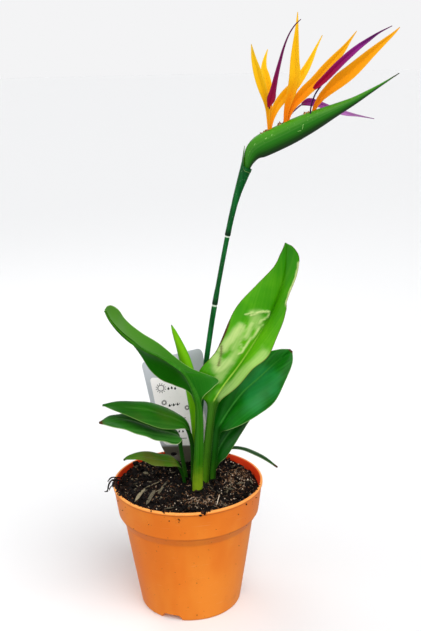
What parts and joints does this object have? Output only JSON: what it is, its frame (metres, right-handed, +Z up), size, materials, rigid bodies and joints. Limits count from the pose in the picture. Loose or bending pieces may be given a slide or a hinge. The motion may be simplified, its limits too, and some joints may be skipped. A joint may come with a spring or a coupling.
{
  "type": "potted bird of paradise plant",
  "caption": "Flowering bird of paradise in a plastic nursery pot, with broad leaves, a tall jointed flower stalk, a green beak and orange and purple petals, and a blank care label.",
  "frame": {"origin": "centre of the pot's flat bottom, on the surface it stands on", "axes": "+Z up; -Y towards the viewer, the side the plant faces in the picture; +X to the viewer's right, where the flower points"},
  "size_m": [0.2514, 0.13, 0.498],
  "materials": {
    "pot_plastic": "satin injection-moulded polypropylene, slightly scuffed, redder inside",
    "soil": "damp dark peat with bark chips and pale fibres",
    "leaf_bright": "waxy bright green leaf with a pale midrib and fine side veins, glossy on top, paler below",
    "leaf_dark": "waxy dark green leaf with a pale midrib and fine side veins, soft gloss",
    "leaf_young": "satin yellow-green rolled young leaf",
    "label_plastic": "thin printed plastic, white panel with plain care symbols in a grey border",
    "stalk": "satin bluish green stem with pale rings at its joints",
    "spathe": "waxy green bract, lighter along the top, dark along the keel, with light scratches",
    "sepal": "soft satin orange petal, yellow at its margins and redder at its foot",
    "arrow": "satin petal, crimson at its foot, purple along its length and dark at its tip"
  },
  "bodies": {
    "root": {"pot": "pot_plastic", "soil": "soil", "leaf_front": "leaf_bright", "leaf_tall": "leaf_bright", "leaf_right": "leaf_dark", "leaf_under_right": "leaf_dark", "leaf_upper_left": "leaf_dark", "leaf_lower_left": "leaf_dark", "leaf_low": "leaf_dark", "leaf_narrow": "leaf_dark", "leaf_rolled": "leaf_young", "plant_label": "label_plastic", "flower_stalk": "stalk", "spathe": "spathe", "flower_1_sepals": "sepal", "flower_1_arrow": "arrow", "flower_2_sepals": "sepal", "flower_2_arrow": "arrow", "flower_3_sepals": "sepal", "flower_3_arrow": "arrow"}
  },
  "joints": []
}
